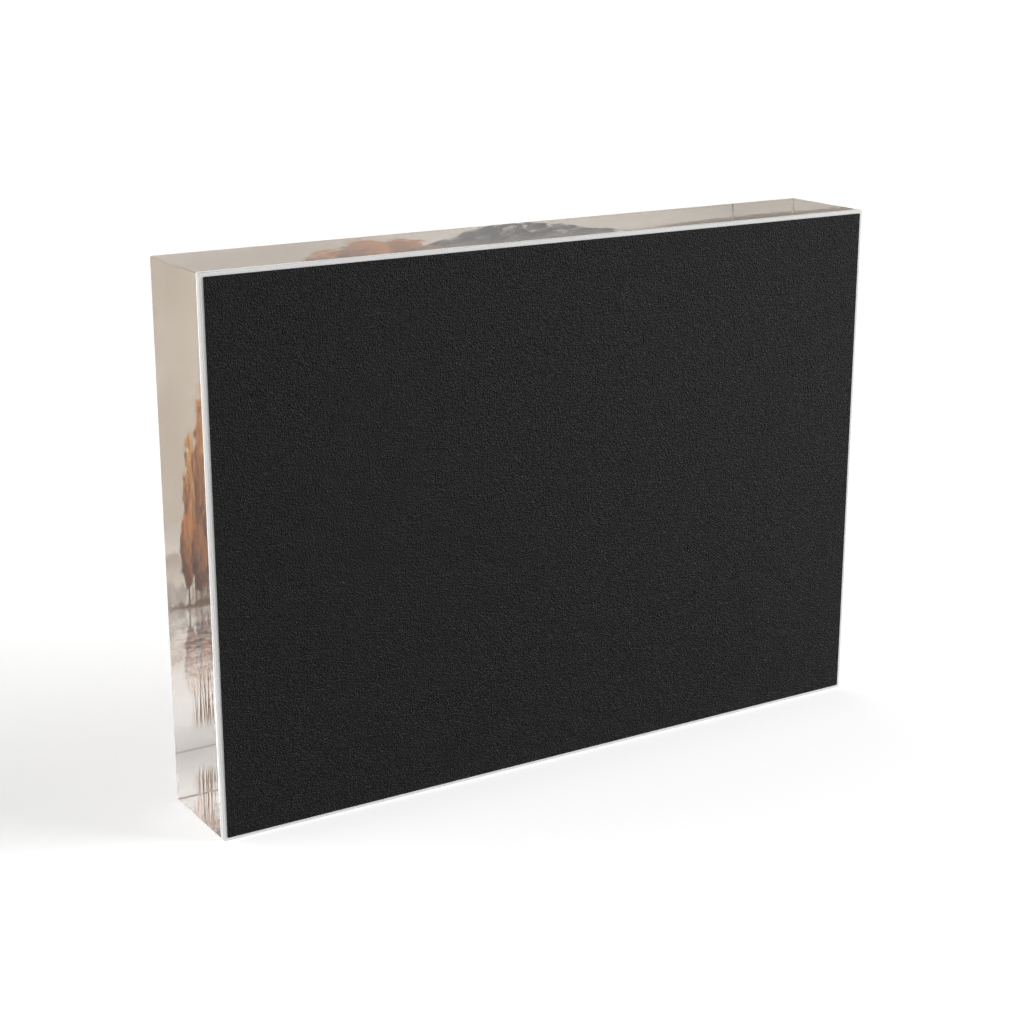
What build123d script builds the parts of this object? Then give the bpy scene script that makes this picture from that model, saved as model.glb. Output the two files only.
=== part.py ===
"""Acrylic photo block: a thick clear slab with a print bonded face-on behind it, closed off by a
white backer board and a black grained sheet. Millimetres, +Z up, the picture faces -Y, and the
origin is the middle of the underside."""
import os

from build123d import *

# Face of the block, the size of a 7 by 5 inch landscape print
FACE_WIDTH = 177.8
FACE_HEIGHT = 127.0

# Thickness of each layer, from the viewing side to the back
BLOCK_DEPTH = 25.0
MOUNTING_FILM = 0.05
PRINT_PAPER = 0.25
PRINT_ADHESIVE = 0.05
BACKER_BOARD = 1.2
BACKING_ADHESIVE = 0.05
BACKING_SHEET = 0.2

# Edges and corners
EASED_EDGE = 0.4
BOARD_ARRIS = 0.15
RIM = 0.8
SHEET_CORNER = 0.3

# Front face of each layer: the layers lie face to face, and the whole stack is centred on Y = 0
LAYERS = (
    BLOCK_DEPTH,
    MOUNTING_FILM,
    PRINT_PAPER,
    PRINT_ADHESIVE,
    BACKER_BOARD,
    BACKING_ADHESIVE,
    BACKING_SHEET,
)
BLOCK_FRONT = -sum(LAYERS) / 2
FILM_FRONT = BLOCK_FRONT + BLOCK_DEPTH
PRINT_FRONT = FILM_FRONT + MOUNTING_FILM
PRINT_ADHESIVE_FRONT = PRINT_FRONT + PRINT_PAPER
BOARD_FRONT = PRINT_ADHESIVE_FRONT + PRINT_ADHESIVE
BACKING_ADHESIVE_FRONT = BOARD_FRONT + BACKER_BOARD
SHEET_FRONT = BACKING_ADHESIVE_FRONT + BACKING_ADHESIVE


def upright_sheet(front, thickness, inset, corner):
    """Sheet parallel to the picture, from its front face backwards, held in from the block's sides."""
    back_face = Plane((0, front + thickness, FACE_HEIGHT / 2), x_dir=(1, 0, 0), z_dir=(0, -1, 0))
    outline = RectangleRounded(FACE_WIDTH - 2 * inset, FACE_HEIGHT - 2 * inset, corner)
    return extrude(back_face * outline, thickness)


def acrylic_block():
    """Clear slab with all twelve of its edges eased and polished, before anything is bonded to it."""
    slab = Box(FACE_WIDTH, BLOCK_DEPTH, FACE_HEIGHT, align=(Align.CENTER, Align.MIN, Align.MIN))
    slab = Pos(0, BLOCK_FRONT, 0) * slab
    return fillet(slab.edges(), EASED_EDGE)


def trimmed_layer(front, thickness):
    """Layer bonded on behind the block, then trimmed flush with its sides and its eased corners."""
    return upright_sheet(front, thickness, 0, EASED_EDGE)


def backer_board():
    """White board, flush with the block, with the sharp arris of its back face broken."""
    board = trimmed_layer(BOARD_FRONT, BACKER_BOARD)
    return chamfer(board.faces().sort_by(Axis.Y)[-1].edges(), BOARD_ARRIS)


def backing_layer(front, thickness):
    """Die-cut layer behind the board, small enough to leave a white rim all round."""
    return upright_sheet(front, thickness, RIM, SHEET_CORNER)


parts = {
    "acrylic_block": acrylic_block(),
    "mounting_film": trimmed_layer(FILM_FRONT, MOUNTING_FILM),
    "photo_print": trimmed_layer(PRINT_FRONT, PRINT_PAPER),
    "print_adhesive": trimmed_layer(PRINT_ADHESIVE_FRONT, PRINT_ADHESIVE),
    "backer_board": backer_board(),
    "backing_adhesive": backing_layer(BACKING_ADHESIVE_FRONT, BACKING_ADHESIVE),
    "backing_sheet": backing_layer(SHEET_FRONT, BACKING_SHEET),
}

os.makedirs("parts", exist_ok=True)
for node, solid in parts.items():
    export_step(solid, f"parts/{node}.step")
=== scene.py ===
"""Looks of an acrylic photo block: a clear slab with a print bonded behind it, a white backer board and
a black grained back, on a pale studio floor. Metres, +Z up, the picture faces -Y."""
import math

import bpy
import numpy as np
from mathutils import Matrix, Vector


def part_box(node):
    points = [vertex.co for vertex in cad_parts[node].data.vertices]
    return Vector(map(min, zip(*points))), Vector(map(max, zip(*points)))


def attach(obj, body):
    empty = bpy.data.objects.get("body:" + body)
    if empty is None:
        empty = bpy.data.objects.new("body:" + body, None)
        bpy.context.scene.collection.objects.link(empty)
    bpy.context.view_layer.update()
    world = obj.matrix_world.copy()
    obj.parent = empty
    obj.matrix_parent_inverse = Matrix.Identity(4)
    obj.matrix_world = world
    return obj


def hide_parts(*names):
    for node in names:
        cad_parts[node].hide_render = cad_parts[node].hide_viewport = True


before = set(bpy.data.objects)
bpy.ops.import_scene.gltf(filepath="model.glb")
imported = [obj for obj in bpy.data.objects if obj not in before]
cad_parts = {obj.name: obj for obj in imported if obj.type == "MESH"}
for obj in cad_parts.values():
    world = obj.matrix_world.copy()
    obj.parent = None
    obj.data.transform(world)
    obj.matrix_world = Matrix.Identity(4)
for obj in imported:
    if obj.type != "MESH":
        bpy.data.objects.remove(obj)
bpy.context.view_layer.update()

# Clear block: 25 mm cast acrylic, sawn to size, with every side polished and every edge eased. The print
# is laminated to its back with a clear film of the same index, so to the eye the block and the film are
# one clear body that ends at the print.
MM = 0.001
CORNER_STEPS = 6
ARRIS_STEPS = 6
BLOCK_CORNER = 0.4 * MM
BLOCK_EASE = 0.39 * MM
BOND_DEPTH = 0.01 * MM
POLISH_WAVE = 16.0 * MM
POLISH_DEPTH = 0.004 * MM
ACRYLIC_TINT = "FDFEFE"
ACRYLIC_IOR = 1.49


def linear(hex_colour):
    """sRGB hex to linear RGBA: a straight part near black, and a power of 2.4 above it."""
    srgb = np.array([int(hex_colour[i:i + 2], 16) for i in (0, 2, 4)]) / 255
    rgb = np.where(srgb <= 0.04045, srgb / 12.92, ((srgb + 0.055) / 1.055) ** 2.4)
    return (*rgb.tolist(), 1.0)


def add_node(tree, kind, sockets=None, **settings):
    """Adds one shader node. Settings are its properties, and sockets its inputs by name or number, each
    a plain value, an output of an earlier node, or an earlier node for its first output."""
    made = tree.nodes.new("ShaderNode" + kind)
    for name, value in settings.items():
        setattr(made, name, value)
    for key, value in (sockets or {}).items():
        if isinstance(value, bpy.types.Node):
            value = value.outputs[0]
        if isinstance(value, bpy.types.NodeSocket):
            tree.links.new(value, made.inputs[key])
        else:
            made.inputs[key].default_value = value
    return made


def new_material(name):
    """An empty node material and its tree."""
    material = bpy.data.materials.new(name)
    material.use_nodes = True
    material.node_tree.nodes.clear()
    return material, material.node_tree


def eased_slab(name, low, high, corner, front_ease, back_ease):
    """Upright slab with rounded corners and arrises. A rounded rectangle in X and Z, drawn in by an
    inset, is carried along a profile of inset and y: a quarter circle from the front face to the
    sides, and one from the sides to the back face. The normal leans as the quarter circles turn."""
    around = (np.arange(4)[:, None] + np.linspace(0, 1, CORNER_STEPS + 1)).ravel() * math.pi / 2
    across, upward = np.cos(around), np.sin(around)
    middle, half = (np.array(low) + np.array(high)) / 2, (np.array(high) - np.array(low)) / 2
    centre_x = middle[0] + np.repeat([1, -1, -1, 1], CORNER_STEPS + 1) * (half[0] - corner)
    centre_z = middle[2] + np.repeat([1, 1, -1, -1], CORNER_STEPS + 1) * (half[2] - corner)
    lean = np.linspace(math.pi / 2, 0, ARRIS_STEPS + 1)
    inset = np.concatenate([front_ease * (1 - np.cos(lean)), back_ease * (1 - np.cos(lean))[::-1]])
    front_y = low[1] + front_ease * (1 - np.sin(lean))
    back_y = high[1] - back_ease * (1 - np.sin(lean))[::-1]
    depth = np.concatenate([front_y, back_y])[:, None] + 0 * across
    radius = corner - inset[:, None]
    points = np.stack([centre_x + radius * across, depth, centre_z + radius * upward], -1)
    outward = np.concatenate([np.cos(lean), np.cos(lean)[::-1]])[:, None]
    facing = np.concatenate([-np.sin(lean), np.sin(lean)[::-1]])[:, None] + 0 * across
    normals = np.stack([outward * across, facing, outward * upward], -1)
    rows, columns = depth.shape
    ring = np.arange(rows * columns).reshape(rows, columns)
    turned = np.roll(ring, -1, axis=1)
    sides = np.stack([ring[:-1], ring[1:], turned[1:], turned[:-1]], -1).reshape(-1, 4)
    faces = [ring[0].tolist(), ring[-1, ::-1].tolist(), *sides.tolist()]
    mesh = bpy.data.meshes.new(name)
    mesh.from_pydata(points.reshape(-1, 3).tolist(), [], faces)
    mesh.shade_smooth()
    mesh.normals_split_custom_set_from_vertices(normals.reshape(-1, 3).tolist())
    slab = bpy.data.objects.new(name, mesh)
    bpy.context.scene.collection.objects.link(slab)
    return slab


block_low, block_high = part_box("acrylic_block")
print_low, print_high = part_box("photo_print")
bonded_back = (block_high.x, print_low.y + BOND_DEPTH, block_high.z)
clear_block = eased_slab("clear_block", block_low, bonded_back, BLOCK_CORNER, BLOCK_EASE, BLOCK_EASE)

# Polished cast acrylic: water clear, with a very slight wave that the polishing wheel leaves
acrylic, tree = new_material("polished_cast_acrylic")
spot = add_node(tree, "TexCoord")
wave = add_node(tree, "TexNoise", {
    "Vector": spot.outputs["Object"], "Scale": 1 / POLISH_WAVE, "Detail": 0.0,
})
bump = add_node(tree, "Bump", {"Height": wave, "Strength": 1.0, "Distance": POLISH_DEPTH})
shader = add_node(tree, "BsdfPrincipled", {
    "Base Color": linear(ACRYLIC_TINT),
    "IOR": ACRYLIC_IOR,
    "Roughness": 0.0,
    "Transmission Weight": 1.0,
    "Normal": bump,
})
add_node(tree, "OutputMaterial", {"Surface": shader})
clear_block.data.materials.append(acrylic)
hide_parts("acrylic_block", "mounting_film")
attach(clear_block, "root")

# Print: an autumn lake on 0.25 mm photo paper, bonded face to the acrylic and trimmed flush with it. Under
# the film the ink has no sheen of its own, and only the paper's white cut edge is bare. Places and sizes
# in the picture are millimetres on the page, with X from its middle and heights from its foot.
CUT_EDGE = 0.02 * MM
NOISE_SPAN = (0.3, 0.7)
PAGE_LEFT = print_low.x / MM
PAGE_TOP = print_high.z / MM
WATERLINE = 37.0
SOFT_EDGE = 0.4
HAZY_EDGE = 0.5

print_piece = eased_slab("print_on_photo_paper", print_low, print_high, BLOCK_CORNER, CUT_EDGE, CUT_EDGE)
photo, tree = new_material("printed_photo_paper")
spot = add_node(tree, "TexCoord")
page = add_node(tree, "VectorMath", {0: spot.outputs["Object"], "Scale": 1 / MM}, operation="SCALE")
where = add_node(tree, "SeparateXYZ", {0: page})

# The lake: below the waterline the view is folded upwards, and small level ripples shift it
RIPPLES_PER_MM = (0.07, 0.0, 0.85)
FAR_RIPPLE = 0.8
NEAR_RIPPLE = 7.0

sunk = add_node(tree, "Math", {0: WATERLINE, 1: where.outputs["Z"]}, operation="SUBTRACT")
wet = add_node(tree, "MapRange", {0: sunk, 1: 0.0, 2: SOFT_EDGE, 3: 0.0, 4: 1.0})
stretched = add_node(tree, "VectorMath", {0: page, 1: RIPPLES_PER_MM}, operation="MULTIPLY")
ripple = add_node(tree, "TexNoise", {"Vector": stretched, "Scale": 1.0, "Detail": 3.0})
reach = add_node(tree, "MapRange", {0: sunk, 1: 0.0, 2: WATERLINE, 3: FAR_RIPPLE, 4: NEAR_RIPPLE})
sway = add_node(tree, "Math", {0: ripple, 1: 0.5}, operation="SUBTRACT")
sway = add_node(tree, "Math", {0: sway, 1: reach}, operation="MULTIPLY")
sway = add_node(tree, "Math", {0: sway, 1: wet}, operation="MULTIPLY")
across = add_node(tree, "Math", {0: where.outputs["X"], 1: sway}, operation="ADD")
folded = add_node(tree, "Math", {0: sunk}, operation="ABSOLUTE")
folded = add_node(tree, "Math", {0: folded, 1: WATERLINE}, operation="ADD")
height = add_node(tree, "Math", {0: folded, 1: sway}, operation="ADD")
view = add_node(tree, "CombineXYZ", {0: across, 2: height})

# Sky: cream near the hills and at the left, beige above and to the right, with long soft cloud
SKY_FOOT = 50.0
DUSK = (4.0, 46.0)
CLOUDS_PER_MM = (0.016, 0.0, 0.060)
CLOUD_EDGE = 0.46
PUFF_CORE = 0.70
PUFF_COVER = 0.5
DULL_CORE = 0.28
DULL_COVER = 0.3

rise = add_node(tree, "MapRange", {0: height, 1: SKY_FOOT, 2: PAGE_TOP, 3: 0.0, 4: 1.0})
colour = add_node(tree, "MixRGB", {0: rise, 1: linear("EDE1D1"), 2: linear("E4D5C1")})
rightward = add_node(tree, "MapRange", {0: across, 1: DUSK[0], 2: DUSK[1], 3: 0.0, 4: 1.0})
colour = add_node(tree, "MixRGB", {0: rightward, 1: colour, 2: linear("CDBDAB")})
drawn = add_node(tree, "VectorMath", {0: view, 1: CLOUDS_PER_MM}, operation="MULTIPLY")
cloud = add_node(tree, "TexNoise", {"Vector": drawn, "Scale": 1.0, "Detail": 7.0, "Roughness": 0.55})
puff = add_node(tree, "MapRange", {0: cloud, 1: CLOUD_EDGE, 2: PUFF_CORE, 3: 0.0, 4: PUFF_COVER})
colour = add_node(tree, "MixRGB", {0: puff, 1: colour, 2: linear("F2E8DB")})
dull = add_node(tree, "MapRange", {0: cloud, 1: CLOUD_EDGE, 2: DULL_CORE, 3: 0.0, 4: DULL_COVER})
colour = add_node(tree, "MixRGB", {0: dull, 1: colour, 2: linear("CEBDA9")})


def below_crest(crest, swing, length, start):
    """Millimetres that a point lies under a ridge line: its mean crest plus noise along X."""
    along = add_node(tree, "Math", {0: across, 1: start * length}, operation="ADD")
    wave = add_node(tree, "TexNoise", {
        "W": along, "Scale": 1 / length, "Detail": 8.0, "Roughness": 0.55,
    }, noise_dimensions="1D")
    lift = add_node(tree, "Math", {0: wave, 1: 0.5}, operation="SUBTRACT")
    line = add_node(tree, "Math", {0: lift, 1: swing, 2: crest}, operation="MULTIPLY_ADD")
    return add_node(tree, "Math", {0: line, 1: height}, operation="SUBTRACT")


# Far hills: two pale ranges whose feet fade into mist
FAR_HILLS = (
    # crest, swing, length and start of its noise, foot of its mist, colour, mist
    (58.0, 16.0, 60.0, 3.0, 44.0, "CDBFB1", "EFE6DB"),
    (50.0, 14.0, 44.0, 17.0, 40.0, "B9A797", "E6DACC"),
)

for crest, swing, length, start, foot, hill, mist in FAR_HILLS:
    inside = below_crest(crest, swing, length, start)
    cover = add_node(tree, "MapRange", {0: inside, 1: 0.0, 2: HAZY_EDGE, 3: 0.0, 4: 1.0})
    clear = add_node(tree, "MapRange", {0: height, 1: foot, 2: crest, 3: 0.0, 4: 1.0})
    rock = add_node(tree, "MixRGB", {0: clear, 1: linear(mist), 2: linear(hill)})
    colour = add_node(tree, "MixRGB", {0: cover, 1: colour, 2: rock})

# Mountain: a dark peak; the change of a ridged noise towards the light gives its gullies and buttresses
PEAK_X = -18.0
PEAK_HEIGHT = 99.0
MOUNTAIN_FEET = (-74.0, 34.0)
MOUNTAIN_FOOT_HEIGHT = 42.0
MOUNTAIN_RIDGE = (22.0, 30.0, 5.0)  # swing, length and start of its noise
MOUNTAIN_MIST = (70.0, 46.0)
MOUNTAIN_MIST_COVER = 0.6
GULLY = 22.0
GULLY_TURN = math.radians(33)
GULLY_LIGHT = (-1.0, 0.0, 0.45)
GULLY_SHADE = 0.30
SNOW_LINE = (22.0, 4.0)
SNOW_STREAK = (-0.02, -0.25)
SNOW_COVER = 0.9

left_flank = add_node(tree, "MapRange", {
    0: across, 1: MOUNTAIN_FEET[0], 2: PEAK_X, 3: MOUNTAIN_FOOT_HEIGHT, 4: PEAK_HEIGHT,
})
right_flank = add_node(tree, "MapRange", {
    0: across, 1: PEAK_X, 2: MOUNTAIN_FEET[1], 3: PEAK_HEIGHT, 4: MOUNTAIN_FOOT_HEIGHT,
})
flanks = add_node(tree, "Math", {0: left_flank, 1: right_flank}, operation="MINIMUM")
inside = below_crest(flanks, *MOUNTAIN_RIDGE)
cover = add_node(tree, "MapRange", {0: inside, 1: 0.0, 2: SOFT_EDGE, 3: 0.0, 4: 1.0})
turned = add_node(tree, "VectorRotate", {"Vector": view, "Axis": (0.0, 1.0, 0.0), "Angle": GULLY_TURN})
lightward = add_node(tree, "VectorMath", {0: turned, 1: GULLY_LIGHT}, operation="ADD")
relief = []
for place in (turned, lightward):
    relief.append(add_node(tree, "TexNoise", {
        "Vector": place, "Scale": 1 / GULLY, "Detail": 8.0, "Roughness": 0.55, "Offset": 0.9, "Gain": 1.6,
    }, noise_type="RIDGED_MULTIFRACTAL", normalize=False))
shade = add_node(tree, "Math", {0: relief[1], 1: relief[0]}, operation="SUBTRACT")
lit = add_node(tree, "MapRange", {0: shade, 1: GULLY_SHADE, 2: -GULLY_SHADE, 3: 0.0, 4: 1.0})
rock = add_node(tree, "MixRGB", {0: lit, 1: linear("2C2827"), 2: linear("7C7168")})
high = add_node(tree, "MapRange", {0: inside, 1: SNOW_LINE[0], 2: SNOW_LINE[1], 3: 0.0, 4: 1.0})
streak = add_node(tree, "MapRange", {0: shade, 1: SNOW_STREAK[0], 2: SNOW_STREAK[1], 3: 0.0, 4: SNOW_COVER})
snow = add_node(tree, "Math", {0: high, 1: streak}, operation="MULTIPLY")
rock = add_node(tree, "MixRGB", {0: snow, 1: rock, 2: linear("EDE5DB")})
mist = add_node(tree, "MapRange", {
    0: height, 1: MOUNTAIN_MIST[0], 2: MOUNTAIN_MIST[1], 3: 0.0, 4: MOUNTAIN_MIST_COVER,
})
rock = add_node(tree, "MixRGB", {0: mist, 1: rock, 2: linear("D3C4B5")})
colour = add_node(tree, "MixRGB", {0: cover, 1: colour, 2: rock})

# Forest: crowns of broad-leaved trees, each a cell with its own autumn colour, lit from the upper left
FOREST_BEND = 30.0
FOREST_END = 47.0
FOREST_CRESTS = (66.0, 47.0)
FOREST_DROP = 14.0
FOREST_RIDGE = (12.0, 16.0, 9.0)  # swing, length and start of its noise
FOREST_MIST = 16.0
FOREST_MIST_COVER = (0.05, 0.55)
FLECK = 0.9
FLECK_SHIFT = 0.5
FLECK_LIGHT = 1.3
CROWN_WIDTH = 2.5
CROWN_HEIGHT = 2.1
CROWN_BULGE = 1.2
CROWN_BULGE_SPAN = (0.1, 0.6)
CROWN_LIGHT = (-0.7, 0.0, 0.7)
DOME_SPAN = (0.7, 0.1)
DOME_LIGHT = (-0.75, 0.25)
SHADE_COVER = 0.72
LEAF_COLOURS = ((0.0, "4A3F39"), (0.3, "6B4C3A"), (0.55, "98613A"), (0.8, "B98450"), (1.0, "C99C6C"))

slope = add_node(tree, "MapRange", {
    0: across, 1: PAGE_LEFT, 2: FOREST_BEND, 3: FOREST_CRESTS[0], 4: FOREST_CRESTS[1],
})
drop = add_node(tree, "MapRange", {0: across, 1: FOREST_BEND, 2: FOREST_END, 3: 0.0, 4: FOREST_DROP})
slope = add_node(tree, "Math", {0: slope, 1: drop}, operation="SUBTRACT")
inside = below_crest(slope, *FOREST_RIDGE)
fleck = add_node(tree, "TexNoise", {"Vector": view, "Scale": 1 / FLECK, "Detail": 2.0})
wander = add_node(tree, "VectorMath", {
    0: fleck.outputs["Color"], 1: (FLECK_SHIFT, 0.0, FLECK_SHIFT), 2: view,
}, operation="MULTIPLY_ADD")
crown_scale = (1 / CROWN_WIDTH, 0.0, 1 / CROWN_HEIGHT)
squat = add_node(tree, "VectorMath", {0: wander, 1: crown_scale}, operation="MULTIPLY")
crown = add_node(tree, "TexVoronoi", {"Vector": squat, "Scale": 1.0, "Randomness": 1.0})
off_middle = crown.outputs["Distance"]
bulge = add_node(tree, "MapRange", {
    0: off_middle, 1: CROWN_BULGE_SPAN[0], 2: CROWN_BULGE_SPAN[1], 3: CROWN_BULGE, 4: -CROWN_BULGE,
})
inside = add_node(tree, "Math", {0: inside, 1: bulge}, operation="ADD")
cover = add_node(tree, "MapRange", {0: inside, 1: 0.0, 2: SOFT_EDGE, 3: 0.0, 4: 1.0})
chance = add_node(tree, "SeparateXYZ", {0: crown.outputs["Color"]})
leaves = add_node(tree, "ValToRGB", {0: chance.outputs["X"]})
leaves.color_ramp.elements.remove(leaves.color_ramp.elements[1])
leaves.color_ramp.elements[0].color = linear(LEAF_COLOURS[0][1])
for place, hue in LEAF_COLOURS[1:]:
    leaves.color_ramp.elements.new(place).color = linear(hue)
offset = add_node(tree, "VectorMath", {0: squat, 1: crown.outputs["Position"]}, operation="SUBTRACT")
aslant = add_node(tree, "VectorMath", {0: offset, 1: CROWN_LIGHT}, operation="DOT_PRODUCT")
domed = add_node(tree, "MapRange", {
    0: off_middle, 1: DOME_SPAN[0], 2: DOME_SPAN[1], 3: DOME_LIGHT[0], 4: DOME_LIGHT[1],
}, interpolation_type="SMOOTHSTEP")
sunny = add_node(tree, "Math", {
    0: fleck, 1: FLECK_LIGHT, 2: aslant.outputs["Value"],
}, operation="MULTIPLY_ADD")
sunny = add_node(tree, "Math", {0: sunny, 1: domed}, operation="ADD", use_clamp=True)
shaded = add_node(tree, "MixRGB", {0: SHADE_COVER, 1: leaves, 2: linear("2E2724")})
wood = add_node(tree, "MixRGB", {0: sunny, 1: shaded, 2: leaves})
mist = add_node(tree, "MapRange", {
    0: inside, 1: FOREST_MIST, 2: 0.0, 3: FOREST_MIST_COVER[0], 4: FOREST_MIST_COVER[1],
})
wood = add_node(tree, "MixRGB", {0: mist, 1: wood, 2: linear("D9C9B8")})
colour = add_node(tree, "MixRGB", {0: cover, 1: colour, 2: wood})

# Golden trees on a headland: oval crowns with ragged edges, dappled by clumps of leaves
RAGGED = 4.5
RAGGED_REACH = 1.5
LEAF_CLUMP = 2.4
TRUNK_HALF = (0.55, 0.3)
TRUNK_TOP = (0.5, 0.45)
OVAL_MIDDLE = 0.56
OVAL_SCALE = (2.0, 2.2)  # width and height over the oval's half axes
OVAL_EDGE = (1.72, 1.60)
OVAL_LIGHT = (-0.28, 0.0, 0.34)
DAPPLE = 2.2
DAPPLE_SPAN = (0.85, 1.4)
GOLDEN_TREES = (
    # place, foot, height and width of the crown, colour in shade and in light
    (33.0, 38.5, 41.0, 15.0, "7A4A2B", "D69A5A"),
    (14.0, 38.5, 47.0, 17.0, "5B3B2A", "BE7A41"),
    (24.0, 38.0, 53.0, 17.0, "6E4228", "CF8C4C"),
    (7.0, 38.0, 33.0, 14.0, "4C3A30", "A5805E"),
    (38.0, 37.8, 24.0, 12.0, "5E3A26", "C07B40"),
    (19.5, 37.5, 25.0, 14.0, "3F2E27", "8F5A36"),
    (29.0, 37.5, 20.0, 13.0, "4A3023", "A2673B"),
)

ragged = add_node(tree, "TexNoise", {
    "Vector": view, "Scale": 1 / RAGGED, "Detail": 6.0, "Roughness": 0.7,
})
clump = add_node(tree, "TexNoise", {
    "Vector": view, "Scale": 1 / LEAF_CLUMP, "Detail": 5.0, "Roughness": 0.65,
})
for place, foot, tall, wide, shady, sunlit in GOLDEN_TREES:
    trunk = add_node(tree, "Math", {0: across, 1: place}, operation="SUBTRACT")
    trunk = add_node(tree, "Math", {0: trunk}, operation="ABSOLUTE")
    trunk = add_node(tree, "MapRange", {0: trunk, 1: TRUNK_HALF[0], 2: TRUNK_HALF[1], 3: 0.0, 4: 1.0})
    under = add_node(tree, "MapRange", {
        0: height, 1: foot + TRUNK_TOP[0] * tall, 2: foot + TRUNK_TOP[1] * tall, 3: 0.0, 4: 1.0,
    })
    trunk = add_node(tree, "Math", {0: trunk, 1: under}, operation="MULTIPLY")
    colour = add_node(tree, "MixRGB", {0: trunk, 1: colour, 2: linear("3B302A")})
    centre = (place, 0.0, foot + OVAL_MIDDLE * tall)
    rounded = (OVAL_SCALE[0] / wide, 0.0, OVAL_SCALE[1] / tall)
    oval = add_node(tree, "VectorMath", {0: view, 1: centre}, operation="SUBTRACT")
    oval = add_node(tree, "VectorMath", {0: oval, 1: rounded}, operation="MULTIPLY")
    reach = add_node(tree, "VectorMath", {0: oval}, operation="LENGTH")
    reach = add_node(tree, "Math", {
        0: ragged, 1: RAGGED_REACH, 2: reach.outputs["Value"],
    }, operation="MULTIPLY_ADD")
    cover = add_node(tree, "MapRange", {0: reach, 1: OVAL_EDGE[0], 2: OVAL_EDGE[1], 3: 0.0, 4: 1.0})
    aslant = add_node(tree, "VectorMath", {0: oval, 1: OVAL_LIGHT}, operation="DOT_PRODUCT")
    sunny = add_node(tree, "Math", {
        0: clump, 1: DAPPLE, 2: aslant.outputs["Value"],
    }, operation="MULTIPLY_ADD")
    sunny = add_node(tree, "MapRange", {0: sunny, 1: DAPPLE_SPAN[0], 2: DAPPLE_SPAN[1], 3: 0.0, 4: 1.0})
    foliage = add_node(tree, "MixRGB", {0: sunny, 1: linear(shady), 2: linear(sunlit)})
    colour = add_node(tree, "MixRGB", {0: cover, 1: colour, 2: foliage})

# Conifers at both sides: one tree to each stretch of X, a tapering outline with drooping tiers
TIER = 2.3
TIER_DROOP = -0.5
TIER_REACH = 1.3
TIER_RAGGED = 0.8
BOUGH_TAPER = 0.14
BOUGH_FLECK = 1.6
BOUGH_CLUMP = 2.6
BOUGH_EDGE = (2.4, 2.8)
BOUGH_LIGHT = (0.15, 0.5)
BOUGH_LIGHT_COVER = 0.35
YOUNG_SHARE = 0.35
SHORT_SHARE = 0.62
INNER_FADE = 0.2
FULL_GROWN = 90.0
CONIFERS = (
    # side of the page, nearest to the middle, spacing, tallest, colour
    (-1.0, 57.0, 5.0, 24.0, "4E4844"),
    (1.0, 66.0, 4.5, 20.0, "4A4440"),
    (-1.0, 66.0, 6.5, 30.0, "332F2D"),
)

for side, inner, spacing, tallest, needles in CONIFERS:
    along = add_node(tree, "Math", {0: across, 1: 1 / spacing}, operation="MULTIPLY")
    stem = add_node(tree, "TexVoronoi", {
        "W": along, "Scale": 1.0, "Randomness": 0.75,
    }, voronoi_dimensions="1D")
    chance = add_node(tree, "SeparateXYZ", {0: stem.outputs["Color"]})
    out = add_node(tree, "Math", {0: stem.outputs["W"], 1: side * spacing}, operation="MULTIPLY")
    grown = add_node(tree, "MapRange", {
        0: out, 1: inner, 2: FULL_GROWN, 3: YOUNG_SHARE * tallest, 4: tallest,
    })
    vary = add_node(tree, "MapRange", {0: chance.outputs["X"], 1: 0.0, 2: 1.0, 3: SHORT_SHARE, 4: 1.0})
    top = add_node(tree, "Math", {0: grown, 1: vary, 2: WATERLINE}, operation="MULTIPLY_ADD")
    down = add_node(tree, "Math", {0: top, 1: height}, operation="SUBTRACT")
    aside = add_node(tree, "Math", {0: stem.outputs["Distance"], 1: spacing}, operation="MULTIPLY")
    tier = add_node(tree, "Math", {0: aside, 1: TIER_DROOP, 2: down}, operation="MULTIPLY_ADD")
    tier = add_node(tree, "Math", {0: tier, 1: 1 / TIER}, operation="MULTIPLY")
    tier = add_node(tree, "Math", {0: clump, 1: TIER_RAGGED, 2: tier}, operation="MULTIPLY_ADD")
    tier = add_node(tree, "Math", {0: tier}, operation="FRACT")
    half = add_node(tree, "Math", {0: down, 1: BOUGH_TAPER}, operation="MULTIPLY")
    half = add_node(tree, "Math", {0: tier, 1: TIER_REACH, 2: half}, operation="MULTIPLY_ADD")
    half = add_node(tree, "Math", {0: fleck, 1: BOUGH_FLECK, 2: half}, operation="MULTIPLY_ADD")
    half = add_node(tree, "Math", {0: clump, 1: BOUGH_CLUMP, 2: half}, operation="MULTIPLY_ADD")
    within = add_node(tree, "Math", {0: half, 1: aside}, operation="SUBTRACT")
    cover = add_node(tree, "MapRange", {0: within, 1: BOUGH_EDGE[0], 2: BOUGH_EDGE[1], 3: 0.0, 4: 1.0})
    edge = add_node(tree, "MapRange", {0: out, 1: inner - spacing * INNER_FADE, 2: inner, 3: 0.0, 4: 1.0})
    tip = add_node(tree, "MapRange", {0: down, 1: 0.0, 2: SOFT_EDGE, 3: 0.0, 4: 1.0})
    cover = add_node(tree, "Math", {0: cover, 1: edge}, operation="MULTIPLY")
    cover = add_node(tree, "Math", {0: cover, 1: tip}, operation="MULTIPLY")
    sunny = add_node(tree, "Math", {0: tier, 1: fleck}, operation="MULTIPLY")
    sunny = add_node(tree, "MapRange", {
        0: sunny, 1: BOUGH_LIGHT[0], 2: BOUGH_LIGHT[1], 3: 0.0, 4: BOUGH_LIGHT_COVER,
    })
    boughs = add_node(tree, "MixRGB", {0: sunny, 1: linear(needles), 2: linear("8A7A69")})
    colour = add_node(tree, "MixRGB", {0: cover, 1: colour, 2: boughs})

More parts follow.
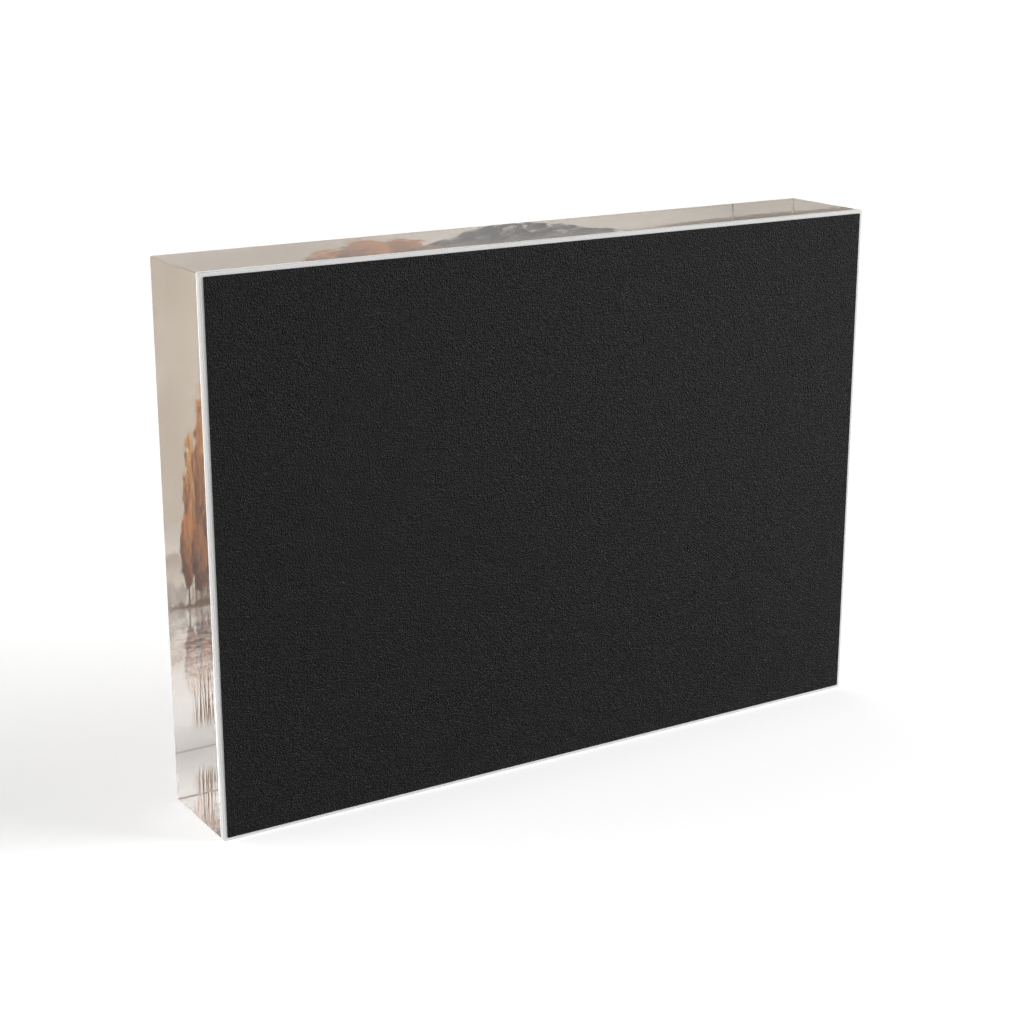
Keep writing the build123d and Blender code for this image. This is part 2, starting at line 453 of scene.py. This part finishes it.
# Shore and water: a dark uneven bank, then the mirrored view, streaked, and paler towards the bottom and
# to the right, where the water lies open to the sky
BANK_RISE = 7.0
BANK_FOOT = -2.2
BANK_FADE = (42.0, 56.0)
BANK_LEAST = 0.35
PALE_WATER = (10.0, 27.0)
PALE_COVER = (0.10, 0.98)
GLINT = (0.45, 0.75)
GLINT_COVER = 0.35
OPEN_WATER = (-38.0, 8.0)
SHADED_WATER = 0.12

bank_foot = WATERLINE + BANK_FOOT
bank = add_node(tree, "Math", {0: ragged, 1: BANK_RISE, 2: bank_foot}, operation="MULTIPLY_ADD")
bank = add_node(tree, "Math", {0: bank, 1: folded}, operation="SUBTRACT")
cover = add_node(tree, "MapRange", {0: bank, 1: 0.0, 2: HAZY_EDGE, 3: 0.0, 4: 1.0})
near = add_node(tree, "MapRange", {0: across, 1: BANK_FADE[0], 2: BANK_FADE[1], 3: 1.0, 4: BANK_LEAST})
cover = add_node(tree, "Math", {0: cover, 1: near}, operation="MULTIPLY")
soil = add_node(tree, "MixRGB", {0: fleck, 1: linear("3A302A"), 2: linear("8D6D52")})
colour = add_node(tree, "MixRGB", {0: cover, 1: colour, 2: soil})
veil = add_node(tree, "MapRange", {
    0: sunk, 1: PALE_WATER[0], 2: PALE_WATER[1], 3: PALE_COVER[0], 4: PALE_COVER[1],
})
glint = add_node(tree, "MapRange", {0: ripple, 1: GLINT[0], 2: GLINT[1], 3: 0.0, 4: GLINT_COVER})
veil = add_node(tree, "Math", {0: veil, 1: glint}, operation="ADD", use_clamp=True)
veil = add_node(tree, "Math", {0: veil, 1: wet}, operation="MULTIPLY")
open_water = add_node(tree, "MapRange", {
    0: across, 1: OPEN_WATER[0], 2: OPEN_WATER[1], 3: SHADED_WATER, 4: 1.0,
})
veil = add_node(tree, "Math", {0: veil, 1: open_water}, operation="MULTIPLY")
colour = add_node(tree, "MixRGB", {0: veil, 1: colour, 2: linear("FAF6F1")})

# Reeds in the water near the right: tapering blades, one to each stretch of X, tallest in mid clump
REED_BED = 30.0
REED_BED_HALF = (3.0, 15.0)
REED_FOOT = 4.0
REED_ROOT = 5.0
REED_CURVE = 1.8
REED_HALF = (0.05, 0.75)
REED_EDGE = 0.12
REED_TIP_EDGE = 0.3
REEDS = (
    # lean at the tip, spacing, shortest and tallest blade, colour in shade and in light
    (7.0, 2.6, 10.0, 30.0, "4E3B30", "A87848"),
    (-6.0, 3.1, 8.0, 34.0, "3E322C", "C08A52"),
    (2.0, 3.7, 6.0, 27.0, "5C4433", "DDAE78"),
)

outer = add_node(tree, "Math", {0: where.outputs["X"], 1: REED_BED}, operation="SUBTRACT")
outer = add_node(tree, "Math", {0: outer}, operation="ABSOLUTE")
clumped = add_node(tree, "MapRange", {
    0: outer, 1: REED_BED_HALF[0], 2: REED_BED_HALF[1], 3: 1.0, 4: 0.0,
}, interpolation_type="SMOOTHSTEP")
low = add_node(tree, "Math", {0: where.outputs["Z"], 1: REED_FOOT}, operation="SUBTRACT")
rooted = add_node(tree, "MapRange", {
    0: low, 1: 0.0, 2: REED_ROOT, 3: 0.0, 4: 1.0,
}, interpolation_type="SMOOTHSTEP")
for lean, spacing, shortest, tallest, shady, sunlit in REEDS:
    bend = add_node(tree, "Math", {0: low, 1: 1 / tallest}, operation="MULTIPLY")
    bend = add_node(tree, "Math", {0: bend, 1: REED_CURVE}, operation="POWER")
    along = add_node(tree, "Math", {0: bend, 1: -lean, 2: where.outputs["X"]}, operation="MULTIPLY_ADD")
    along = add_node(tree, "Math", {0: along, 1: 1 / spacing}, operation="MULTIPLY")
    blade = add_node(tree, "TexVoronoi", {
        "W": along, "Scale": 1.0, "Randomness": 0.9,
    }, voronoi_dimensions="1D")
    chance = add_node(tree, "SeparateXYZ", {0: blade.outputs["Color"]})
    tip = add_node(tree, "MapRange", {0: chance.outputs["X"], 1: 0.0, 2: 1.0, 3: shortest, 4: tallest})
    tip = add_node(tree, "Math", {0: tip, 1: clumped}, operation="MULTIPLY")
    left = add_node(tree, "Math", {0: tip, 1: low}, operation="SUBTRACT")
    half = add_node(tree, "MapRange", {0: left, 1: 0.0, 2: tallest, 3: REED_HALF[0], 4: REED_HALF[1]})
    aside = add_node(tree, "Math", {0: blade.outputs["Distance"], 1: spacing}, operation="MULTIPLY")
    within = add_node(tree, "Math", {0: half, 1: aside}, operation="SUBTRACT")
    cover = add_node(tree, "MapRange", {0: within, 1: 0.0, 2: REED_EDGE, 3: 0.0, 4: 1.0})
    topped = add_node(tree, "MapRange", {0: left, 1: 0.0, 2: REED_TIP_EDGE, 3: 0.0, 4: 1.0})
    cover = add_node(tree, "Math", {0: cover, 1: rooted}, operation="MULTIPLY")
    cover = add_node(tree, "Math", {0: cover, 1: topped}, operation="MULTIPLY")
    straw = add_node(tree, "MixRGB", {0: chance.outputs["Y"], 1: linear(shady), 2: linear(sunlit)})
    colour = add_node(tree, "MixRGB", {0: cover, 1: colour, 2: straw})

# Ink on coated paper: a faint grain, drawn at 0.3 mm so that it shows
INK_GRAIN = 0.3
INK_SHADE = (0.985, 1.01)

grain = add_node(tree, "TexNoise", {"Vector": page, "Scale": 1 / INK_GRAIN, "Detail": 1.0})
grain = add_node(tree, "MapRange", {
    0: grain, 1: NOISE_SPAN[0], 2: NOISE_SPAN[1], 3: INK_SHADE[0], 4: INK_SHADE[1],
})
colour = add_node(tree, "VectorMath", {0: colour, "Scale": grain}, operation="SCALE")
ink = add_node(tree, "BsdfPrincipled", {"Base Color": colour, "Roughness": 0.6, "Specular IOR Level": 0.0})
add_node(tree, "OutputMaterial", {"Surface": ink})

# Cut edge and back of the paper: bare white fibres, drawn at 0.2 mm so that they show
FIBRE = 0.2 * MM

bare_paper, tree = new_material("photo_paper_base")
spot = add_node(tree, "TexCoord")
fibres = add_node(tree, "TexNoise", {"Vector": spot.outputs["Object"], "Scale": 1 / FIBRE, "Detail": 2.0})
colour = add_node(tree, "MixRGB", {0: fibres, 1: linear("E4E3DF"), 2: linear("F6F5F2")})
bare = add_node(tree, "BsdfPrincipled", {"Base Color": colour, "Roughness": 0.8, "Specular IOR Level": 0.3})
add_node(tree, "OutputMaterial", {"Surface": bare})
print_piece.data.materials.append(photo)
print_piece.data.materials.append(bare_paper)
printed = np.ones(len(print_piece.data.polygons), np.int32)
printed[0] = 0
print_piece.data.polygons.foreach_set("material_index", printed)
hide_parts("photo_print")
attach(print_piece, "root")

# Backer board: 1.2 mm rigid white PVC sheet, stuck behind the print and trimmed flush with the block. Its
# cut edge shows as the white line round the block, and its back as a narrow white rim.
BOARD_ARRIS = 0.14 * MM
BOARD_MOTTLE = 2.5 * MM
CUTTER_MARK = 0.45 * MM
BOARD_THROUGH = 6.0 * MM
MARK_DEPTH = 0.012 * MM
BOARD_MATT = (0.5, 0.6)

board_low, board_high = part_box("backer_board")
board = eased_slab("white_backer_board", board_low, board_high, BLOCK_CORNER, CUT_EDGE, BOARD_ARRIS)

# Rigid PVC: matt white, faintly mottled, with fine cutter marks that run through the sheet's thickness
white, tree = new_material("rigid_white_pvc")
spot = add_node(tree, "TexCoord")
mottle = add_node(tree, "TexNoise", {
    "Vector": spot.outputs["Object"], "Scale": 1 / BOARD_MOTTLE, "Detail": 3.0,
})
colour = add_node(tree, "MixRGB", {0: mottle, 1: linear("DFDFDD"), 2: linear("E9E9E7")})
mark_scale = (1 / CUTTER_MARK, 1 / BOARD_THROUGH, 1 / CUTTER_MARK)
along = add_node(tree, "VectorMath", {0: spot.outputs["Object"], 1: mark_scale}, operation="MULTIPLY")
marks = add_node(tree, "TexNoise", {"Vector": along, "Scale": 1.0, "Detail": 2.0})
bump = add_node(tree, "Bump", {"Height": marks, "Strength": 0.12, "Distance": MARK_DEPTH})
matt = add_node(tree, "MapRange", {
    0: marks, 1: NOISE_SPAN[0], 2: NOISE_SPAN[1], 3: BOARD_MATT[0], 4: BOARD_MATT[1],
})
shader = add_node(tree, "BsdfPrincipled", {
    "Base Color": colour,
    "Roughness": matt,
    "Specular IOR Level": 0.4,
    "Normal": bump,
})
add_node(tree, "OutputMaterial", {"Surface": shader})
board.data.materials.append(white)
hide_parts("backer_board")
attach(board, "root")

# Adhesive: two 0.05 mm transfer films, one between the print and the board and one under the black sheet.
# They keep their own solids, and show only as a hair of milky film at the cut edges.
GLUE_MOTTLE = 0.6 * MM
GLUE_MATT = (0.25, 0.45)
GLUE_IOR = 1.47

glue, tree = new_material("acrylic_transfer_adhesive")
spot = add_node(tree, "TexCoord")
mottle = add_node(tree, "TexNoise", {
    "Vector": spot.outputs["Object"], "Scale": 1 / GLUE_MOTTLE, "Detail": 2.0,
})
colour = add_node(tree, "MixRGB", {0: mottle, 1: linear("D9D8D3"), 2: linear("E8E7E3")})
tacky = add_node(tree, "MapRange", {
    0: mottle, 1: NOISE_SPAN[0], 2: NOISE_SPAN[1], 3: GLUE_MATT[0], 4: GLUE_MATT[1],
})
shader = add_node(tree, "BsdfPrincipled", {"Base Color": colour, "Roughness": tacky, "IOR": GLUE_IOR})
add_node(tree, "OutputMaterial", {"Surface": shader})
for node in ("print_adhesive", "backing_adhesive"):
    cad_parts[node].data.materials.clear()
    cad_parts[node].data.materials.append(glue)

# Backing sheet: 0.2 mm black vinyl with an embossed grain, die-cut a little smaller than the board and
# stuck on, so that the board's white rim shows all round it.
SHEET_CORNER = 0.3 * MM
SHEET_ARRIS = 0.08 * MM
GRAIN = 0.31 * MM
GRAIN_DEPTH = 0.72 * MM
GRAIN_SPAN = (0.34, 0.66)
GRAIN_MATT = (0.45, 0.32)

sheet_low, sheet_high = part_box("backing_sheet")
sheet = eased_slab("black_backing_sheet", sheet_low, sheet_high, SHEET_CORNER, CUT_EDGE, SHEET_ARRIS)

# Embossed vinyl: black, with a fine pebbled grain whose pits are duller than its bumps, and darker by
# painted shade in the hollows. The relief is drawn deeper than the film is thick, so that a grain of about
# one pixel still shows.
black, tree = new_material("embossed_black_vinyl")
spot = add_node(tree, "TexCoord")
grain = add_node(tree, "TexNoise", {"Vector": spot.outputs["Object"], "Scale": 1 / GRAIN, "Detail": 0.0})
raised = add_node(tree, "MapRange", {0: grain, 1: GRAIN_SPAN[0], 2: GRAIN_SPAN[1], 3: 0.0, 4: 1.0})
# Painted shade: the pits are coloured darker than the bumps, from the same noise as the relief
colour = add_node(tree, "MixRGB", {0: raised, 1: linear("020202"), 2: linear("161616")})
dull = add_node(tree, "MapRange", {0: raised, 1: 0.0, 2: 1.0, 3: GRAIN_MATT[0], 4: GRAIN_MATT[1]})
bump = add_node(tree, "Bump", {"Height": grain, "Strength": 1.0, "Distance": GRAIN_DEPTH})
shader = add_node(tree, "BsdfPrincipled", {
    "Base Color": colour,
    "Roughness": dull,
    "Specular IOR Level": 0.395,
    "Normal": bump,
})
add_node(tree, "OutputMaterial", {"Surface": shader})
sheet.data.materials.append(black)
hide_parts("backing_sheet")
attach(sheet, "root")

# Floor: a seamless pale sweep, a hair below the block so that the polished base still mirrors. The camera
# sees it almost shadowless, as an overexposed sweep looks, lifted by a painted glow. Other rays see plain
# paper with patches of painted glow on it: in front of the block and beyond its ends for the acrylic, and
# behind it to light the white rim.
FLOOR_REACH = 40.0
FLOOR_GAP = 0.1 * MM

corners = FLOOR_REACH * np.array([(-1, -1), (1, -1), (1, 1), (-1, 1)])
floor_mesh = bpy.data.meshes.new("studio_floor")
floor_mesh.from_pydata(np.insert(corners, 2, -FLOOR_GAP, axis=1).tolist(), [], [(0, 1, 2, 3)])
floor = bpy.data.objects.new("studio_floor", floor_mesh)
bpy.context.scene.collection.objects.link(floor)
sweep, tree = new_material("white_paper_sweep")
rays = add_node(tree, "LightPath")
spot = add_node(tree, "TexCoord")
place = add_node(tree, "SeparateXYZ", {0: spot.outputs["Object"]})
off_centre = add_node(tree, "Math", {0: place.outputs["X"]}, operation="ABSOLUTE")

# White paper, with painted shade behind the block for rays that a surface mirrors: only there is it darker
SWEEP_WHITE = 0.8
MIRRORED_WHITE = 0.47
MIRRORED_TO = 10.0 * MM

mirrored = add_node(tree, "Math", {
    0: rays.outputs["Is Glossy Ray"], 1: rays.outputs["Is Transmission Ray"],
}, operation="SUBTRACT", use_clamp=True)
painted_mirror_shade = add_node(tree, "MapRange", {
    0: place.outputs["Y"], 1: 0.0, 2: MIRRORED_TO, 3: SWEEP_WHITE, 4: MIRRORED_WHITE,
})
pale = add_node(tree, "MapRange", {0: mirrored, 1: 0.0, 2: 1.0, 3: SWEEP_WHITE, 4: painted_mirror_shade})
matt = add_node(tree, "BsdfDiffuse", {"Color": pale})

# Painted glow in front and beyond the ends, for rays through the acrylic, and none under the block
FOOT_FROM = 13.3 * MM
FOOT_TO = 13.6 * MM
NEAR_FROM = 22.0 * MM
NEAR_TO = 45.0 * MM
NEAR_GLOW = 6.2
FRONT_GLOW = 0.8
SIDE_FROM = 89.0 * MM
SIDE_TO = 95.0 * MM
SIDE_GLOW = 0.2

ahead = add_node(tree, "MapRange", {0: place.outputs["Y"], 1: -FOOT_FROM, 2: -FOOT_TO, 3: 0.0, 4: 1.0})
facing = add_node(tree, "MapRange", {0: off_centre, 1: SIDE_FROM, 2: SIDE_TO, 3: 1.0, 4: 0.0})
painted_through_glow = add_node(tree, "MapRange", {0: place.outputs["Y"], 1: -NEAR_FROM, 2: -NEAR_TO, 3: NEAR_GLOW, 4: 0.0})
painted_through_glow = add_node(tree, "Math", {0: painted_through_glow, 1: ahead}, operation="MULTIPLY")
painted_through_glow = add_node(tree, "Math", {0: painted_through_glow, 1: facing}, operation="MULTIPLY")
far = add_node(tree, "MapRange", {0: place.outputs["Y"], 1: -FOOT_TO, 2: -NEAR_TO, 3: 0.0, 4: FRONT_GLOW})
painted_through_glow = add_node(tree, "Math", {0: painted_through_glow, 1: far}, operation="ADD")
ends = add_node(tree, "MapRange", {0: off_centre, 1: SIDE_FROM, 2: SIDE_TO, 3: 0.0, 4: SIDE_GLOW})
painted_through_glow = add_node(tree, "Math", {0: painted_through_glow, 1: ends}, operation="ADD")
painted_through_glow = add_node(tree, "Math", {0: rays.outputs["Is Transmission Ray"], 1: painted_through_glow}, operation="MULTIPLY")

# Painted glow behind the block, for rays that light a matt surface
BACK_TO = 60.0 * MM
BACK_GLOW = 0.3

behind = add_node(tree, "MapRange", {0: place.outputs["Y"], 1: BACK_TO, 2: FOOT_TO, 3: 0.0, 4: BACK_GLOW})
back = add_node(tree, "Math", {0: place.outputs["Y"], 1: 0.0}, operation="GREATER_THAN")
behind = add_node(tree, "Math", {0: behind, 1: back}, operation="MULTIPLY")
behind = add_node(tree, "Math", {0: rays.outputs["Is Diffuse Ray"], 1: behind}, operation="MULTIPLY")
painted_glow = add_node(tree, "Math", {0: painted_through_glow, 1: behind}, operation="ADD")
painted_glow = add_node(tree, "Emission", {"Strength": painted_glow})
unseen = add_node(tree, "AddShader", {0: matt, 1: painted_glow})

# What the camera sees: the same paper lifted towards white by a painted glow, a little more behind the
# block
SEEN_WHITE = 0.85
SEEN_GLOW = 0.40
SEEN_BACK_GLOW = 0.48
SEEN_BACK_TO = 30.0 * MM

white_paper = add_node(tree, "BsdfDiffuse", {"Color": (SEEN_WHITE, SEEN_WHITE, SEEN_WHITE, 1)})
# Painted glow, stronger behind the block, where it lightens the block's shade on the floor
lift = add_node(tree, "MapRange", {
    0: place.outputs["Y"], 1: 0.0, 2: SEEN_BACK_TO, 3: SEEN_GLOW, 4: SEEN_BACK_GLOW,
})
lift = add_node(tree, "Emission", {"Strength": lift})
seen = add_node(tree, "AddShader", {0: white_paper, 1: lift})
both = add_node(tree, "MixShader", {0: rays.outputs["Is Camera Ray"], 1: unseen, 2: seen})
add_node(tree, "OutputMaterial", {"Surface": both})
floor_mesh.materials.append(sweep)

# Light: a big soft light on the picture's side, weaker ones beside and behind, a window from the right and
# a small fill near the right of the back. The acrylic is seen against an even light of its own, and what
# surfaces mirror is dimmer than the light itself, as with black flags beside the softboxes.
SKY_LEVEL = 0.10
SKY_LIGHT = (
    # towards, cosine at its rim and at its core, strength, as in the next two lists
    ((0.50, -0.85, -0.15), 0.3, 0.95, 2.0),
    ((1.00, -0.10, -0.10), 0.2, 0.9, 1.05),
    ((0.10, 0.95, -0.10), 0.0, 0.9, 0.05),
)
THROUGH_LEVEL = 0.4
THROUGH_LIGHT = (
    ((0.00, -1.00, 0.00), 0.0, 0.3, 0.95),
    ((1.00, 0.00, 0.10), 0.8, 0.95, 0.45),
    ((-1.00, 0.00, 0.10), 0.8, 0.95, 0.45),
)
MIRRORED_LEVEL = 0.15
MIRRORED_LIGHT = (
    ((-0.65, 0.50, 0.55), 0.5, 0.95, 1.0),
    ((-0.20, -0.97, 0.15), 0.8, 1.0, 0.37),
)
WINDOW_FROM = (-0.78, 0.42, 0.37)
WINDOW_SPREAD = math.radians(40.0)
WINDOW_STRENGTH = 2.2
FILL_PLACE = (-0.58, 0.38, 0.32)
FILL_AIM = (-0.05, 0.013, 0.06)
FILL_SIZE = 0.40
FILL_POWER = 1.5

world = bpy.data.worlds.new("studio")
bpy.context.scene.world = world
world.use_nodes = True
tree = world.node_tree
tree.nodes.clear()
way = add_node(tree, "TexCoord")
levels = []
skies = ((SKY_LEVEL, SKY_LIGHT), (THROUGH_LEVEL, THROUGH_LIGHT), (MIRRORED_LEVEL, MIRRORED_LIGHT))
for total, lobes in skies:
    for towards, rim, core, strength in lobes:
        towards = np.array(towards) / np.linalg.norm(towards)
        close = add_node(tree, "VectorMath", {
            0: way.outputs["Generated"], 1: towards,
        }, operation="DOT_PRODUCT")
        lobe = add_node(tree, "MapRange", {
            0: close.outputs["Value"], 1: rim, 2: core, 3: 0.0, 4: strength,
        }, interpolation_type="SMOOTHSTEP")
        total = add_node(tree, "Math", {0: lobe, 1: total}, operation="ADD")
    levels.append(total)
rays = add_node(tree, "LightPath")
mirrored = add_node(tree, "Math", {
    0: rays.outputs["Is Glossy Ray"], 1: rays.outputs["Is Transmission Ray"],
}, operation="SUBTRACT", use_clamp=True)
level = add_node(tree, "Mix", {0: rays.outputs["Is Transmission Ray"], 2: levels[0], 3: levels[1]})
level = add_node(tree, "Mix", {0: mirrored, 2: level, 3: levels[2]})
level = add_node(tree, "Mix", {0: rays.outputs["Is Camera Ray"], 2: level, 3: 1.0})
sky = add_node(tree, "Background", {"Color": (1, 1, 1, 1), "Strength": level})
add_node(tree, "OutputWorld", {"Surface": sky})


def add_lamp(name, kind, energy, aim):
    """A lamp whose -Z axis is turned along the aim: tilted from straight down, then swung about Z."""
    lamp = bpy.data.lights.new(name, kind)
    lamp.energy = energy
    holder = bpy.data.objects.new(name, lamp)
    bpy.context.scene.collection.objects.link(holder)
    aim = aim / np.linalg.norm(aim)
    holder.rotation_euler = (math.acos(-aim[2]), 0, math.atan2(-aim[0], aim[1]))
    return holder


window = add_lamp("window", "SUN", WINDOW_STRENGTH, -np.array(WINDOW_FROM))
window.data.angle = WINDOW_SPREAD
window.visible_glossy = False
fill = add_lamp("fill_softbox", "AREA", FILL_POWER, np.array(FILL_AIM) - np.array(FILL_PLACE))
fill.location = FILL_PLACE
fill.data.shape = "SQUARE"
fill.data.size = FILL_SIZE
fill.visible_camera = False

# Camera: behind the block and above it, near its left end as seen from behind, where the photograph was
# taken from
CAMERA_PLACE = (248.84 * MM, 390.84 * MM, 195.68 * MM)
CAMERA_AZIMUTH = math.radians(31.902)
CAMERA_TILT = math.radians(16.419)
CAMERA_LENS = 70.386
CAMERA_SENSOR = 36.0
CAMERA_NEAR = 0.01

camera = bpy.data.objects.new("camera", bpy.data.cameras.new("camera"))
bpy.context.scene.collection.objects.link(camera)
camera.data.lens = CAMERA_LENS
camera.data.sensor_width = CAMERA_SENSOR
camera.data.clip_start = CAMERA_NEAR
camera.location = CAMERA_PLACE
camera.rotation_euler = (math.pi / 2 - CAMERA_TILT, 0, math.pi - CAMERA_AZIMUTH)
bpy.context.scene.camera = camera
bpy.context.scene.view_settings.view_transform = "Standard"
